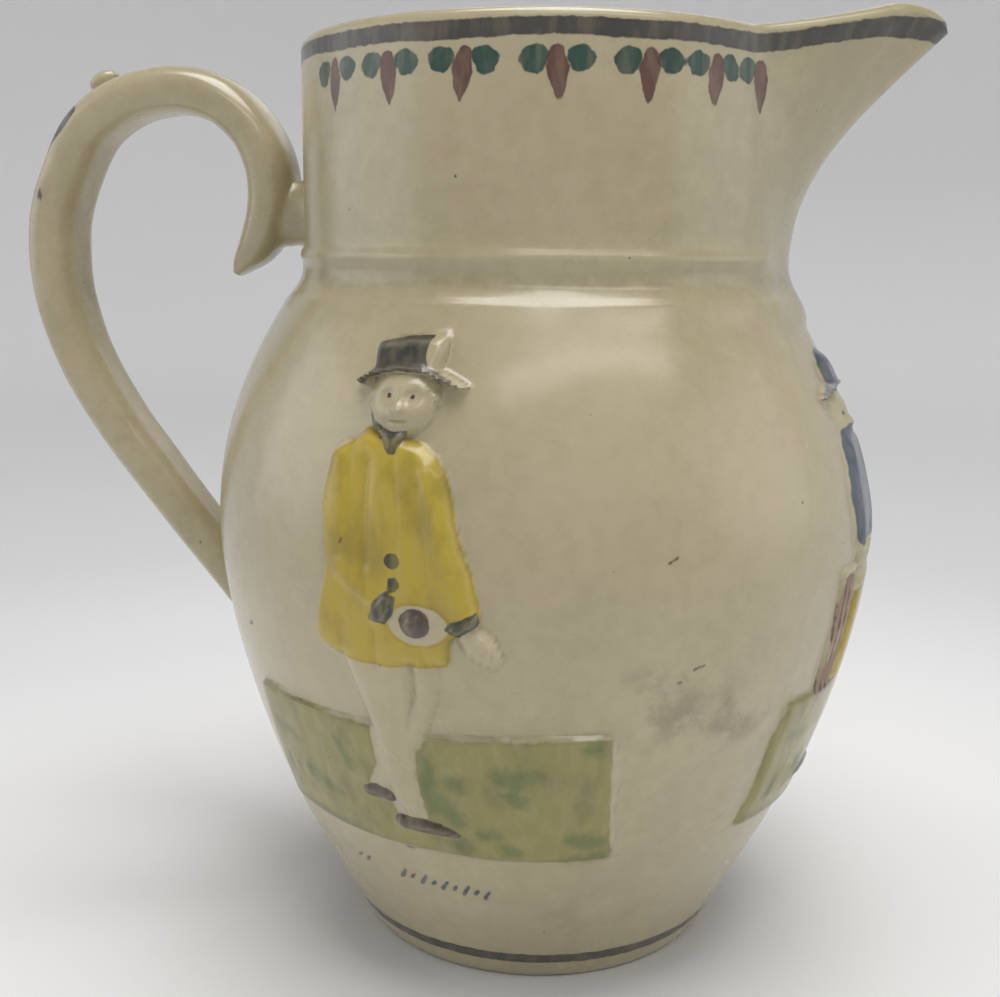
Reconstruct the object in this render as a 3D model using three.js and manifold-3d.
// Glazed pottery jug with a pouring spout, a scrolled handle and three figures in relief.
// Millimetres and degrees, +Z up, origin at the middle of the flat underside.
// The spout points along +X, the handle along -X, and angle 0 on the wall faces -Y and
// grows towards the spout, so a wall point is (r sin a, -r cos a, height).
import * as THREE from 'three';
import { mergeVertices } from 'three/addons/utils/BufferGeometryUtils.js';
import Module from 'manifold-3d';

const wasm = await Module();
wasm.setup();

// Driving dimensions

const FOOT = {
  radius: 41.2, // flat underside, at the outside of its rounded edge
  edge: 1.6, // rounding of the bottom edge
  bellyRadius: 56.6, // where the straight foot meets the belly
  bellyHeight: 30,
};

const BELLY = { radius: 73.8, height: 96.6 }; // the widest place and its height

const NECK = {
  radius: 53.8,
  shoulderRadius: 57, // crisp line where the shoulder ends
  shoulderHeight: 147,
  beadRadius: 54.9, // soft bead above the hollow band
  beadHeight: 155,
  rimHeight: 200, // top of the rim above the table
};

const WALL = { thickness: 4.5, floor: 6, rimRounding: 1.9 };

const SPOUT = {
  reach: 84.2, // tip of the lip, from the axis
  tipRise: 5.4, // top of the lip at the tip, above the rim
  tipRounding: 3.9, // the outermost place of the tip lies this much below its top
  startFall: 1, // the spout has faded out this much below the shoulder line
  lipZone: 28, // height over which the wall leaves its level to follow the lip
  shoulderFall: 2.2, // the shoulder lies this much lower under the spout
  creaseTop: 31.5, // half angle of the spout at the rim
  creaseFoot: 24, // half angle of the spout at its foot
  humpRise: 6.5, // the lip's highest place, above the rim
  humpPlace: 0.34, // that place, as a share from the tip to the crease
  noseRounding: 0.3,
};

const HANDLE = {
  reach: 120, // middle of the strap at its furthest from the axis
  footHeight: 63, // middle of the strap's lower end, inside the belly
  thickness: 12.8,
  width: 18,
  strutHeight: 16, // join between the scroll and the neck
  strutWidth: 12,
  knob: 4.2, // little thumb knob on top of the strap
};

const FIGURE = { height: 99, soleHeight: 42.2, sink: 1.5 };
const GROUND = { bottom: 37.6, top: 66.6, halfWidth: 40.5, raise: 1.4 };
const GROUND_ANGLES = { front: -13, spout: 90, back: 193 };
const BATSMAN_TURN = -5; // the second figure stands to the left of its ground's middle

const COLUMNS = { outside: 48, inside: 36 };

const TIP_HEIGHT = NECK.rimHeight + SPOUT.tipRise - SPOUT.tipRounding;
const SPOUT_START = NECK.shoulderHeight - SPOUT.startFall;

// Outline of the outside wall, from the underside to the rim

function curvePoints(curve, count) {
  return curve.getPoints(count).slice(1);
}

const point = (radius, height) => new THREE.Vector2(radius, height);

function outsideProfile() {
  const bellyFoot = point(FOOT.bellyRadius, FOOT.bellyHeight);
  const widest = point(BELLY.radius, BELLY.height);
  const shoulder = point(NECK.shoulderRadius, NECK.shoulderHeight);
  const rise = BELLY.height - FOOT.bellyHeight;
  const drop = NECK.shoulderHeight - BELLY.height;
  const lower = new THREE.CubicBezierCurve(
    bellyFoot,
    point(FOOT.bellyRadius + 0.135 * rise, FOOT.bellyHeight + 0.3 * rise),
    point(BELLY.radius, BELLY.height - 0.28 * rise),
    widest,
  );
  const upper = new THREE.CubicBezierCurve(
    widest,
    point(BELLY.radius, BELLY.height + 0.365 * drop),
    point(NECK.shoulderRadius + 0.22 * drop, NECK.shoulderHeight - 0.337 * drop),
    shoulder,
  );
  const bandFoot = 1.1;
  const bandTop = NECK.beadHeight - NECK.shoulderHeight - 2;
  const neckTop = NECK.rimHeight - WALL.rimRounding;
  return [
    point(FOOT.radius - FOOT.edge, 0),
    point(FOOT.radius - 0.2 * FOOT.edge, 0.4 * FOOT.edge),
    point(FOOT.radius + 0.4 * FOOT.edge, 1.3 * FOOT.edge),
    point(THREE.MathUtils.lerp(FOOT.radius, FOOT.bellyRadius, 0.5) - 0.1, 0.48 * FOOT.bellyHeight),
    bellyFoot,
    ...curvePoints(lower, 7),
    ...curvePoints(upper, 6),
    point(NECK.shoulderRadius - 1.1, NECK.shoulderHeight + bandFoot),
    point(NECK.radius + 0.6, NECK.shoulderHeight + 0.55 * bandTop),
    point(NECK.radius + 0.3, NECK.shoulderHeight + bandTop),
    point(NECK.beadRadius, NECK.beadHeight),
    point(NECK.radius, NECK.beadHeight + 2.6),
    ...[0.2, 0.38, 0.54, 0.68, 0.81, 0.92].map((share) => point(
      NECK.radius,
      THREE.MathUtils.lerp(NECK.beadHeight + 2.6, neckTop, share),
    )),
    point(NECK.radius, neckTop),
    point(NECK.radius - 0.35 * WALL.rimRounding, NECK.rimHeight - 0.3 * WALL.rimRounding),
    point(NECK.radius - WALL.rimRounding, NECK.rimHeight),
    point(NECK.radius - 1.4 * WALL.thickness, NECK.rimHeight),
  ];
}

const OUTSIDE = outsideProfile();

function radiusAt(profile, height) {
  for (let i = 1; i < profile.length; i += 1) {
    const low = profile[i - 1];
    const high = profile[i];
    if (height <= high.y && high.y > low.y) {
      const share = Math.max(0, (height - low.y) / (high.y - low.y));
      return THREE.MathUtils.lerp(low.x, high.x, share);
    }
  }
  return NECK.radius;
}

function insideProfile() {
  const wallHeights = [0.02, 0.14, 0.34, 0.56, 0.78, 0.95].map((share) => (
    THREE.MathUtils.lerp(WALL.floor, NECK.shoulderHeight, share)
  ));
  const neckFoot = NECK.beadHeight;
  const neckTop = NECK.rimHeight - WALL.rimRounding;
  const neckHeights = [0, 0.4, 0.75, 1].map((share) => (
    THREE.MathUtils.lerp(neckFoot, neckTop, share)
  ));
  const inner = NECK.radius - WALL.thickness;
  return [
    point(radiusAt(OUTSIDE, WALL.floor) - 1.8 * WALL.thickness, WALL.floor),
    ...wallHeights.map((height) => point(
      radiusAt(OUTSIDE, height + 0.3 * WALL.thickness) - 1.1 * WALL.thickness,
      height + 0.3 * WALL.thickness,
    )),
    ...neckHeights.map((height) => point(inner, height)),
    point(inner + 0.5 * WALL.rimRounding, NECK.rimHeight + 0.5),
    point(inner + 0.5 * WALL.rimRounding, NECK.rimHeight + 2 * SPOUT.humpRise),
  ];
}

// The spout: above its foot each level of the wall leaves the round neck at two creases
// and runs straight to a rounded nose

const UNDERSIDE_FOOT = NECK.shoulderHeight + 5;

const spoutUnderside = new THREE.CubicBezierCurve(
  point(NECK.radius + 0.3, UNDERSIDE_FOOT),
  point(NECK.radius + 0.3, THREE.MathUtils.lerp(UNDERSIDE_FOOT, TIP_HEIGHT, 0.41)),
  point(
    THREE.MathUtils.lerp(NECK.radius, SPOUT.reach, 0.335),
    THREE.MathUtils.lerp(UNDERSIDE_FOOT, TIP_HEIGHT, 0.61),
  ),
  point(SPOUT.reach, TIP_HEIGHT),
);

// Radius lost by the shoulder on the side of the spout, with the angle from the spout
function shoulderFall(fromSpout, height) {
  const facing = Math.max(0, Math.cos(fromSpout)) ** 2;
  const fallen = THREE.MathUtils.lerp(BELLY.height, NECK.shoulderHeight, 0.6);
  const rise = THREE.MathUtils.smoothstep(height, BELLY.height, fallen);
  const end = THREE.MathUtils.smoothstep(height, NECK.shoulderHeight - 6, NECK.shoulderHeight + 2);
  return SPOUT.shoulderFall * facing * rise * (1 - end);
}

function noseRadius(height) {
  if (height < UNDERSIDE_FOOT) {
    return spoutUnderside.getPoint(0).x + 0.035 * (UNDERSIDE_FOOT - height) ** 2;
  }
  let low = 0;
  let high = 1;
  for (let step = 0; step < 30; step += 1) {
    const middle = (low + high) / 2;
    if (spoutUnderside.getPoint(middle).y < height) {
      low = middle;
    } else {
      high = middle;
    }
  }
  return spoutUnderside.getPoint(low).x;
}

// Height of the lip's top and of its outermost edge over the table, for a place from the
// nose (0) to the crease (1)
function lipHeights(place) {
  const near = Math.min(1, place / SPOUT.humpPlace);
  const far = Math.max(0, (place - SPOUT.humpPlace) / (1 - SPOUT.humpPlace));
  const rise = THREE.MathUtils.lerp(SPOUT.tipRise, SPOUT.humpRise, Math.sin((Math.PI / 2) * near));
  const top = NECK.rimHeight + rise * (1 - far) ** 1.2;
  const blend = THREE.MathUtils.smoothstep(near, 0, 1);
  return { top, edge: top - THREE.MathUtils.lerp(SPOUT.tipRounding, WALL.rimRounding, blend) };
}

// Height on the spout of a level of the plain neck
function lippedHeight(height, place) {
  const neckTop = NECK.rimHeight - WALL.rimRounding;
  const { top, edge } = lipHeights(place);
  if (height > neckTop) {
    return edge + ((height - neckTop) * (top - edge)) / WALL.rimRounding;
  }
  return height + THREE.MathUtils.smoothstep(height, NECK.rimHeight - SPOUT.lipZone, neckTop) * (edge - neckTop);
}

// Plan position of a wall point at an angle from the spout's direction, in degrees
function planPoint(fromSpout, radius, height) {
  const plain = THREE.MathUtils.degToRad(fromSpout);
  const reach = radius - shoulderFall(plain, height);
  const round = { along: reach * Math.cos(plain), aside: reach * Math.sin(plain), up: height };
  const strength = THREE.MathUtils.smoothstep(height, SPOUT_START - 6, SPOUT_START + 3);
  const share = THREE.MathUtils.clamp(
    (height - SPOUT_START) / (NECK.rimHeight - SPOUT_START), 0, 1,
  );
  const crease = THREE.MathUtils.lerp(SPOUT.creaseFoot, SPOUT.creaseTop, share);
  const creaseColumn = 30;
  const lastTurned = 72;
  const away = Math.abs(fromSpout);
  const side = Math.sign(fromSpout);
  if (strength === 0 || away >= lastTurned) {
    return round;
  }
  if (away > creaseColumn) {
    const turned = crease + ((away - creaseColumn) * (lastTurned - crease)) / (lastTurned - creaseColumn);
    const angle = THREE.MathUtils.degToRad(THREE.MathUtils.lerp(away, turned, strength));
    return { along: radius * Math.cos(angle), aside: side * radius * Math.sin(angle), up: height };
  }
  const place = away / creaseColumn;
  const up = lippedHeight(height, place);
  const creaseAngle = THREE.MathUtils.degToRad(crease);
  const nose = noseRadius(Math.min(lippedHeight(height, 0), TIP_HEIGHT));
  const outer = { along: NECK.radius * Math.cos(creaseAngle), aside: NECK.radius * Math.sin(creaseAngle) };
  const slope = Math.hypot(outer.aside, nose - outer.along) / outer.aside;
  const noseAlong = nose - (NECK.radius - radius) * slope;
  const rounding = SPOUT.noseRounding;
  const spread = (Math.hypot(place, rounding) - rounding) / (Math.hypot(1, rounding) - rounding);
  const along = THREE.MathUtils.lerp(noseAlong, radius * Math.cos(creaseAngle), spread);
  const aside = side * place * radius * Math.sin(creaseAngle);
  return {
    along: THREE.MathUtils.lerp(round.along, along, strength),
    aside: THREE.MathUtils.lerp(round.aside, aside, strength),
    up,
  };
}

// Solids

function trianglesOf(geometry) {
  geometry.deleteAttribute('normal');
  geometry.deleteAttribute('uv');
  const merged = mergeVertices(geometry, 1e-4);
  const index = [];
  const source = merged.index.array;
  for (let i = 0; i < source.length; i += 3) {
    const [a, b, c] = [source[i], source[i + 1], source[i + 2]];
    if (a !== b && b !== c && c !== a) {
      index.push(a, b, c);
    }
  }
  return { positions: merged.attributes.position.array, index };
}

function solidOf(geometry) {
  const { positions, index } = trianglesOf(geometry);
  return new wasm.Manifold(new wasm.Mesh({
    numProp: 3,
    vertProperties: Float32Array.from(positions),
    triVerts: Uint32Array.from(index),
  }));
}

function geometryOf(solid) {
  const mesh = solid.getMesh();
  const geometry = new THREE.BufferGeometry();
  geometry.setAttribute('position', new THREE.BufferAttribute(mesh.vertProperties, 3));
  geometry.setIndex(new THREE.BufferAttribute(mesh.triVerts, 1));
  return geometry;
}

// A turned shape of the jug, bent out into the spout
function turnedSolid(profile, columns) {
  const closed = [point(0, profile[0].y), ...profile, point(0, profile[profile.length - 1].y)];
  const lathe = new THREE.LatheGeometry(closed, columns);
  lathe.rotateX(Math.PI / 2);
  const position = lathe.attributes.position;
  for (let column = 0; column <= columns; column += 1) {
    const turn = (360 * (column % columns)) / columns - 90;
    const fromSpout = turn > 180 ? turn - 360 : turn;
    closed.forEach((place, row) => {
      const plan = planPoint(fromSpout, place.x, place.y);
      const vertex = column * closed.length + row;
      position.setXYZ(vertex, plan.along, plan.aside, plan.up);
      if (place.x === 0) {
        position.setXYZ(vertex, 0, 0, place.y);
      }
    });
  }
  return solidOf(lathe);
}

// A closed skin through rings of points that all have the same number of points
function loft(rings) {
  const size = rings[0].length;
  const positions = rings.flat().flatMap((place) => [place.x, place.y, place.z]);
  const index = [];
  for (let ring = 0; ring + 1 < rings.length; ring += 1) {
    for (let i = 0; i < size; i += 1) {
      const a = ring * size + i;
      const b = ring * size + ((i + 1) % size);
      index.push(a, b, b + size, a, b + size, a + size);
    }
  }
  const last = (rings.length - 1) * size;
  for (let i = 1; i + 1 < size; i += 1) {
    index.push(0, i + 1, i, last, last + i, last + i + 1);
  }
  const geometry = new THREE.BufferGeometry();
  geometry.setAttribute('position', new THREE.Float32BufferAttribute(positions, 3));
  geometry.setIndex(index);
  return solidOf(geometry);
}

// The handle: a strap of rounded section along a curve in the plane of the handle

// Stations of the strap from the tip of the scroll to the belly: distance from the axis as a
// share of the reach, height as a share between the strap's foot and the rim, then thickness
// and width as shares of the strap's own
const STRAP = [
  [0.613, 0.638, 0.18, 0.3],
  [0.597, 0.655, 0.44, 0.5],
  [0.569, 0.682, 0.72, 0.72],
  [0.544, 0.720, 0.87, 0.88],
  [0.531, 0.770, 0.91, 0.95],
  [0.538, 0.825, 0.91, 1],
  [0.57, 0.880, 0.91, 1],
  [0.626, 0.924, 0.92, 1],
  [0.697, 0.944, 0.94, 1],
  [0.772, 0.940, 0.95, 1],
  [0.843, 0.917, 0.97, 1],
  [0.91, 0.872, 0.98, 1],
  [0.961, 0.810, 0.99, 1],
  [0.992, 0.737, 1, 1],
  [1, 0.657, 1, 1],
  [0.988, 0.573, 0.99, 0.98],
  [0.948, 0.474, 0.98, 0.95],
  [0.879, 0.372, 0.95, 0.92],
  [0.796, 0.276, 0.93, 0.9],
  [0.708, 0.179, 0.9, 0.88],
  [0.62, 0.088, 0.88, 0.88],
  [0.535, 0.000, 0.86, 0.88],
];

const strapHeight = (share) => THREE.MathUtils.lerp(HANDLE.footHeight, NECK.rimHeight, share);

// Rounded section with a flatter inner side, as shares of half the thickness and half the width
function strapSection(sides) {
  return Array.from({ length: sides }, (_, i) => {
    const turn = (2 * Math.PI * (i + 0.5)) / sides;
    const out = Math.cos(turn);
    const aside = Math.sin(turn);
    const flat = out < 0 ? 0.86 : 1;
    return {
      out: Math.sign(out) * Math.abs(out) ** 0.8 * flat,
      aside: Math.sign(aside) * Math.abs(aside) ** 0.75,
    };
  });
}

function strapSolid() {
  const path = new THREE.CatmullRomCurve3(
    STRAP.map(([share, height]) => new THREE.Vector3(-share * HANDLE.reach, 0, strapHeight(height))),
    false,
    'centripetal',
  );
  const section = strapSection(12);
  const steps = 31;
  const rings = Array.from({ length: steps + 1 }, (_, step) => {
    const along = step / steps;
    const place = path.getPoint(along);
    const ahead = path.getTangent(along);
    const outward = new THREE.Vector3(-ahead.z, 0, ahead.x).negate();
    const station = along * (STRAP.length - 1);
    const from = Math.min(Math.floor(station), STRAP.length - 2);
    const share = station - from;
    const thickness = THREE.MathUtils.lerp(STRAP[from][2], STRAP[from + 1][2], share) * HANDLE.thickness;
    const width = THREE.MathUtils.lerp(STRAP[from][3], STRAP[from + 1][3], share) * HANDLE.width;
    return section.map(({ out, aside }) => place.clone()
      .addScaledVector(outward, (out * thickness) / 2)
      .add(new THREE.Vector3(0, (aside * width) / 2, 0)));
  });
  return loft(rings);
}

function ovalRing(x, middle, halfHeight, halfWidth, sides) {
  return Array.from({ length: sides }, (_, i) => {
    const turn = (2 * Math.PI * i) / sides;
    return new THREE.Vector3(x, halfWidth * Math.sin(turn), middle + halfHeight * Math.cos(turn));
  });
}

// Short join between the scroll and the neck, flared where it meets both
function strutSolid() {
  const scroll = -STRAP[4][0] * HANDLE.reach;
  const middle = strapHeight(THREE.MathUtils.lerp(STRAP[3][1], STRAP[4][1], 0.4));
  const half = HANDLE.strutHeight / 2;
  const halfWidth = HANDLE.strutWidth / 2;
  const neck = -NECK.radius;
  const sides = 12;
  return loft([
    ovalRing(neck + WALL.thickness, middle, 1.15 * half, 1.3 * halfWidth, sides),
    ovalRing(neck - 0.6, middle, 1.1 * half, 1.2 * halfWidth, sides),
    ovalRing(THREE.MathUtils.lerp(neck, scroll, 0.35), middle, 0.95 * half, halfWidth, sides),
    ovalRing(scroll, middle, half, halfWidth, sides),
  ]);
}

function knobSolid() {
  const knob = new THREE.SphereGeometry(HANDLE.knob, 8, 5);
  knob.scale(1.1, 0.9, 0.7);
  knob.rotateY(THREE.MathUtils.degToRad(-25));
  knob.translate(-0.885 * HANDLE.reach, 0, strapHeight(STRAP[10][1]) + 0.42 * HANDLE.thickness);
  return solidOf(knob);
}

// Relief on the wall. A design is drawn flat, with x across and y up, in millimetres from
// the middle of the figure and from the table, and is then wrapped on the wall.

function wallPoint(angle, x, y, raise) {
  const radius = radiusAt(OUTSIDE, y);
  const turn = THREE.MathUtils.degToRad(angle) + x / radius;
  const reach = radius - shoulderFall(turn - Math.PI / 2, y) + raise;
  return new THREE.Vector3(reach * Math.sin(turn), -reach * Math.cos(turn), y);
}

const CRISP = [[-1, 0.45], [-0.86, 0.82], [-0.35, 1], [0.35, 1], [0.86, 0.82], [1, 0.45]];
const ROUND = [[-1, 0.1], [-0.8, 0.6], [-0.3, 0.96], [0.3, 0.96], [0.8, 0.6], [1, 0.1]];
const SLIM = [[-1, 0.15], [-0.6, 0.8], [0, 1], [0.6, 0.8], [1, 0.15]];

// A raised pad over rows that each run from a left end to a right end at their own raise
function pad(angle, rows, crown) {
  const size = crown.length;
  const top = rows.map((row) => crown.map(([place, share]) => {
    const x = THREE.MathUtils.lerp(row.left[0], row.right[0], (place + 1) / 2);
    const y = THREE.MathUtils.lerp(row.left[1], row.right[1], (place + 1) / 2);
    return { x, y, raise: row.raise * share };
  }));
  const face = top.flat().map(({ x, y, raise }) => wallPoint(angle, x, y, raise));
  const back = top.flat().map(({ x, y }) => wallPoint(angle, x, y, -FIGURE.sink));
  const index = [];
  const count = face.length;
  const quad = (a, b, c, d) => index.push(a, b, c, a, c, d);
  for (let row = 0; row + 1 < rows.length; row += 1) {
    for (let column = 0; column + 1 < size; column += 1) {
      const a = row * size + column;
      quad(a, a + 1, a + 1 + size, a + size);
      quad(count + a + size, count + a + size + 1, count + a + 1, count + a);
    }
    const left = row * size;
    const right = left + size - 1;
    quad(left, left + size, count + left + size, count + left);
    quad(right + size, right, count + right, count + right + size);
  }
  const lastRow = (rows.length - 1) * size;
  for (let column = 0; column + 1 < size; column += 1) {
    quad(column + 1, column, count + column, count + column + 1);
    const a = lastRow + column;
    quad(a, a + 1, count + a + 1, count + a);
  }
  const geometry = new THREE.BufferGeometry();
  geometry.setAttribute('position', new THREE.Float32BufferAttribute(
    [...face, ...back].flatMap((place) => [place.x, place.y, place.z]), 3,
  ));
  geometry.setIndex(index);
  return solidOf(geometry);
}

// One figure's drawing, in hundredths of its height, turned into millimetres on the wall
class Carver {
  constructor(angle, facing = 1) {
    this.angle = angle;
    this.facing = facing;
    this.unit = FIGURE.height / 100;
    this.solids = [];
  }

  place(x, y) {
    return [this.facing * x * this.unit, FIGURE.soleHeight + y * this.unit];
  }

  // Level rows: height, left edge, right edge and raise
  levels(rows, crown) {
    const drawn = rows.map(([y, left, right, raise]) => {
      const ends = [this.place(left, y), this.place(right, y)];
      const [from, to] = this.facing > 0 ? ends : ends.reverse();
      return { left: from, right: to, raise };
    });
    this.solids.push(pad(this.angle, drawn, crown));
  }

  // A limb along a path: x, y, half width and raise at each station
  limb(stations, crown = SLIM) {
    const places = stations.map(([x, y]) => this.place(x, y));
    const drawn = stations.map(([, , half, raise], i) => {
      const before = places[Math.max(0, i - 1)];
      const after = places[Math.min(places.length - 1, i + 1)];
      const run = Math.hypot(after[0] - before[0], after[1] - before[1]);
      const ahead = [(after[0] - before[0]) / run, (after[1] - before[1]) / run];
      const across = [ahead[1] * half * this.unit, -ahead[0] * half * this.unit];
      return {
        left: [places[i][0] - across[0], places[i][1] - across[1]],
        right: [places[i][0] + across[0], places[i][1] + across[1]],
        raise,
      };
    });
    this.solids.push(pad(this.angle, drawn, crown));
  }

  // A domed oval: middle, half width, half height and raise
  dome(x, y, halfWidth, halfHeight, raise, crown = ROUND) {
    const rows = [-0.95, -0.62, 0, 0.62, 0.95].map((share) => {
      const width = halfWidth * Math.sqrt(1 - share * share);
      return [y + share * halfHeight, x - width, x + width, raise * (1 - 0.75 * share ** 4)];
    });
    this.levels(rows, crown);
  }
}

function groundSlab(angle) {
  const edge = 0.97;
  const slant = 0.045;
  const columns = 11;
  const crown = Array.from({ length: columns }, (_, i) => {
    const place = -1 + (2 * i) / (columns - 1);
    return [place, Math.abs(place) > edge ? 0.8 : 1];
  });
  const heights = [0, 0.07, 0.5, 0.94, 1];
  const rows = heights.map((share) => {
    const y = THREE.MathUtils.lerp(GROUND.bottom, GROUND.top, share);
    const half = GROUND.halfWidth * THREE.MathUtils.lerp(1 - slant, 1 + slant, share);
    const raise = GROUND.raise * (share === 0 || share === 1 ? 0.75 : 1);
    return { left: [-half, y], right: [half, y], raise };
  });
  return pad(angle, rows, crown);
}

function bowler(angle) {
  const figure = new Carver(angle);
  figure.limb([
    [6.6, 40, 2.8, 1.4], [6.2, 32, 2.4, 1.4], [3, 24, 2.3, 1.6], [-3, 16, 2.6, 2], [-6.6, 9.5, 2.4, 2.1],
  ]);
  figure.limb([
    [-3.8, 41, 8.2, 2.1], [-2.4, 31, 6.4, 2.3], [-1.5, 23, 5, 2.5],
    [-2.1, 15, 4.4, 2.5], [-1.2, 9, 3.8, 2.5], [0, 3.4, 3.4, 2.5],
  ]);
  figure.limb([[-10.6, 8.2, 1.6, 2.3], [-7, 8.6, 2, 2.6], [-3.6, 8, 1.5, 2.5]]);
  figure.limb([[-4, 2, 1.9, 2.7], [0.5, 2.1, 2, 3], [5.5, 1.6, 1.6, 2.7], [9.2, 0.8, 0.9, 2.1]]);
  figure.levels([
    [39, -15.4, 11.2, 1.9], [43, -16.8, 11.8, 2.4], [48, -16, 11.8, 2.6],
    [55.5, -14.2, 12.4, 2.7], [63.5, -14.8, 12.2, 2.7], [70, -15.2, 11.4, 2.6],
    [75.5, -14, 10, 2.5], [79, -11.6, 7.6, 2.3], [82.6, -6.6, 3.4, 2],
  ], CRISP);
  figure.limb([
    [-10.4, 77, 4, 2.6], [-10.2, 68, 4.8, 3.3], [-10, 60, 4.4, 3.4],
    [-8.4, 56.5, 4.2, 3.5], [-4.2, 53, 3.8, 3.6], [-0.4, 50, 3.1, 3.4],
  ]);
  figure.limb([[7.6, 78, 3.2, 2.6], [9.8, 68, 3.6, 3.2], [12.2, 58, 3.6, 3.4], [14.8, 49.5, 3.1, 3.2]]);
  figure.dome(6.5, 47.6, 5.4, 3.6, 3.6, SLIM);
  figure.dome(6.1, 48, 2.9, 2.9, 4.3, SLIM);
  figure.dome(17.7, 43.4, 4, 4, 3.3, SLIM);
  figure.dome(-0.3, 88.4, 7.3, 7.6, 3.5, ROUND);
  figure.levels([[93.2, -7.6, 5.4, 3], [96, -8.2, 6, 3], [98.6, -8, 6.4, 2.5], [99.8, -7, 5.8, 1.6]], CRISP);
  figure.limb([
    [-10.2, 91.2, 0.7, 2.6], [-5.5, 93.6, 0.9, 3.9], [0.5, 94.2, 0.9, 4.1],
    [5.5, 93.2, 0.9, 3.9], [11.2, 91, 0.7, 2.4],
  ]);
  return figure.solids;
}

// Three stumps under a bail
function wicket(figure, x, foot) {
  const gap = 2.9;
  for (const step of [-1, 0, 1]) {
    figure.limb([[x + step * gap, foot, 1.2, 1.4], [x + step * gap, foot + 26.5, 1.2, 1.4]]);
  }
  figure.limb([[x - 1.6 * gap, foot + 26.6, 0.9, 1.6], [x + 1.6 * gap, foot + 26.6, 0.9, 1.6]]);
}

function batsman(angle) {
  const figure = new Carver(angle);
  wicket(figure, -21, 24);
  figure.limb([[6, 46, 4.8, 1.2], [8.4, 32, 4.2, 1.3], [9, 19, 3.8, 1.5], [10, 5, 3, 1.6]]);
  figure.limb([[-4, 46, 5.8, 1.2], [-6, 33, 5, 1.4], [-6, 21, 4.4, 1.6], [-6.6, 5, 3.3, 1.7]]);
  figure.limb([[-4.4, 2.4, 2, 1.9], [-9, 2.2, 2, 2.1], [-14.4, 1.2, 1.3, 1.7]]);
  figure.limb([[13, 3.2, 1.9, 1.8], [8.6, 2.8, 2, 2], [3.2, 2, 1.3, 1.6]]);
  figure.levels([
    [45, -10.6, 11.6, 0.9], [51, -11, 12, 1], [57, -12, 12, 1.1],
    [66, -14.2, 11.4, 1.1], [74, -15.4, 9.6, 1.1], [79, -13.2, 5.4, 1],
  ], CRISP);
  figure.limb([[-15.6, 12, 2.4, 1.6], [-14.6, 26, 2.6, 1.8], [-13.2, 40, 2.3, 1.9], [-12.6, 46, 1.1, 1.9]]);
  figure.limb([[-11.6, 75, 3.2, 1.5], [-14.8, 66, 3.4, 1.8], [-14.4, 57, 3, 1.9], [-12.8, 51, 2.6, 1.9]]);
  figure.limb([[6.4, 74, 3.4, 1.3], [7.6, 65, 3.6, 1.6], [1, 57, 3.3, 1.7], [-9.6, 50.8, 2.7, 1.8]]);
  figure.dome(-12.5, 47.5, 3.8, 3.5, 2.1, SLIM);
  figure.dome(-8.4, 82, 6.3, 6.9, 2.3, ROUND);
  figure.levels([[87.6, -14.2, -1.8, 1.9], [92, -13.6, -1.2, 2], [96.4, -12.6, -1.4, 1.5]], CRISP);
  figure.limb([[-20, 86, 0.8, 1.5], [-14, 87.6, 0.9, 2.4], [-7, 88.4, 0.9, 2.6], [1.6, 87.8, 0.8, 1.7]]);
  return figure.solids;
}

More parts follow.
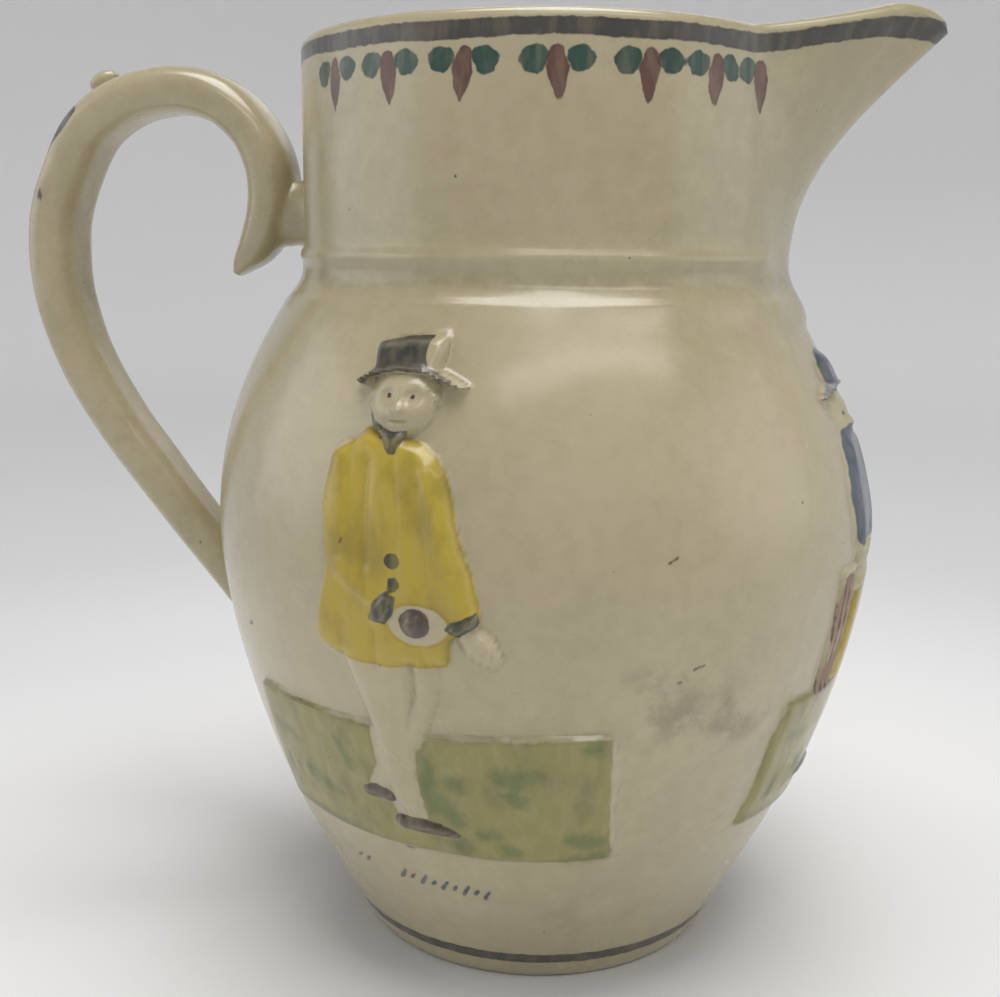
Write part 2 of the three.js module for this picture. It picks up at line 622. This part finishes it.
function fielder(angle) {
  const figure = new Carver(angle, -1);
  figure.limb([[-8, 41, 5, 2], [-9, 30, 4.4, 2.2], [-9.6, 18, 4, 2.2], [-9.6, 4, 3.2, 2.2]]);
  figure.limb([[5.4, 41, 5.6, 2.5], [6.4, 30, 4.8, 2.7], [6, 18, 4.2, 2.7], [6.4, 4, 3.4, 2.6]]);
  figure.limb([[-6, 2, 1.9, 2.6], [-10, 2, 1.9, 2.8], [-15.6, 1, 1.3, 2.3]]);
  figure.limb([[3.6, 2, 1.9, 2.8], [8, 2, 1.9, 3], [13.6, 1, 1.3, 2.4]]);
  figure.levels([
    [39, -13.6, 12, 2.3], [47, -13.8, 12.2, 2.9], [57, -12, 11.2, 3],
    [68, -12.8, 11.8, 3], [76, -11.2, 10.4, 2.8], [82.5, -5, 4.6, 2.2],
  ], CRISP);
  figure.limb([
    [-10.4, 76, 3.6, 3], [-13, 66, 4, 3.7], [-12.4, 57, 3.8, 3.9], [-6, 53.5, 3.4, 4], [0, 55, 2.8, 3.9],
  ]);
  figure.limb([[9.6, 76, 3.6, 3], [12.4, 66, 4, 3.7], [11.8, 57.4, 3.6, 3.9], [7.6, 55, 3.2, 3.9]]);
  figure.dome(3.8, 56, 4.4, 3.6, 4.3, SLIM);
  figure.dome(0, 88.4, 6.8, 7.6, 3.8, ROUND);
  figure.levels([[92.4, -6.8, 6.6, 3.4], [95.4, -6.4, 6.4, 3.6], [98.2, -4.6, 4.8, 2.8]], CRISP);
  figure.limb([[-10, 92, 0.8, 2.6], [-5, 93, 0.9, 4.2], [3, 93, 0.9, 4.3], [9, 92, 0.8, 2.8]]);
  return figure.solids;
}

function reliefSolids() {
  return [
    ...Object.values(GROUND_ANGLES).map(groundSlab),
    ...bowler(GROUND_ANGLES.front),
    ...batsman(GROUND_ANGLES.spout + BATSMAN_TURN),
    ...fielder(GROUND_ANGLES.back),
  ];
}

function jugSolid() {
  let jug = turnedSolid(OUTSIDE, COLUMNS.outside);
  const added = [strapSolid(), strutSolid(), knobSolid(), ...reliefSolids()];
  for (const solid of added) {
    jug = jug.add(solid);
  }
  return jug.subtract(turnedSolid(insideProfile(), COLUMNS.inside));
}

const glaze = new THREE.MeshStandardMaterial({ color: 0xd8d0b8, roughness: 0.22, metalness: 0 });
const jugMesh = new THREE.Mesh(geometryOf(jugSolid()), glaze);
jugMesh.name = 'jug';

const model = new THREE.Group();
model.add(jugMesh);

export default model;
